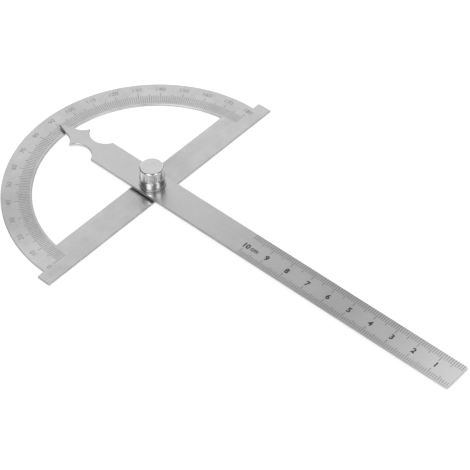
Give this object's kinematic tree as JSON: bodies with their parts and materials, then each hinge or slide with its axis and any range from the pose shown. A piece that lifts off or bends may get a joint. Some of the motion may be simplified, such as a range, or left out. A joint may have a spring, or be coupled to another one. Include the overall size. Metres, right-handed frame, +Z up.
{
  "type": "adjustable protractor",
  "caption": "Flat steel protractor: half-ring degree scale on a straight bar, with a pivoting pointer arm that ends in a centimetre ruler, clamped by a knurled knob.",
  "frame": {"origin": "where the pivot axis meets the underside of the head, which lies on the table", "axes": "+X along the base bar to the 180 degree end, +Y to the 90 degree mark, +Z up along the pivot to the knob; at rest the ruler arm runs along -Y and its pointer along +Y"},
  "size_m": [0.127, 0.21, 0.012],
  "materials": {
    "head_steel": "satin stainless, fine scratches",
    "arm_steel": "satin stainless, fine scratches",
    "stud_steel": "turned steel",
    "washer_steel": "bright",
    "knob_chrome": "polished plating over a straight knurl"
  },
  "bodies": {
    "head": {"protractor_head": "head_steel", "pivot_stud": "stud_steel", "spacer_washer": "washer_steel"},
    "arm": {"ruler_arm": "arm_steel"},
    "washer": {"clamp_washer": "washer_steel"},
    "knob": {"clamp_knob": "knob_chrome"}
  },
  "joints": [
    {"name": "arm_swing", "type": "hinge", "parent": "head", "child": "arm", "pos_m": [0, 0, 0.0021], "axis": [0, 0, 1], "continuous": true},
    {"name": "knob_lift", "type": "slide", "parent": "head", "child": "washer", "axis": [0, 0, 1], "range_m": [0, 0.0042]},
    {"name": "knob_turn", "type": "hinge", "parent": "washer", "child": "knob", "pos_m": [0, 0, 0.0037], "axis": [0, 0, 1], "range_deg": [0, 2160]}
  ],
  "couplings": [
    {"joint": "knob_turn", "follows": "knob_lift", "rad_per_m": 8976}
  ]
}
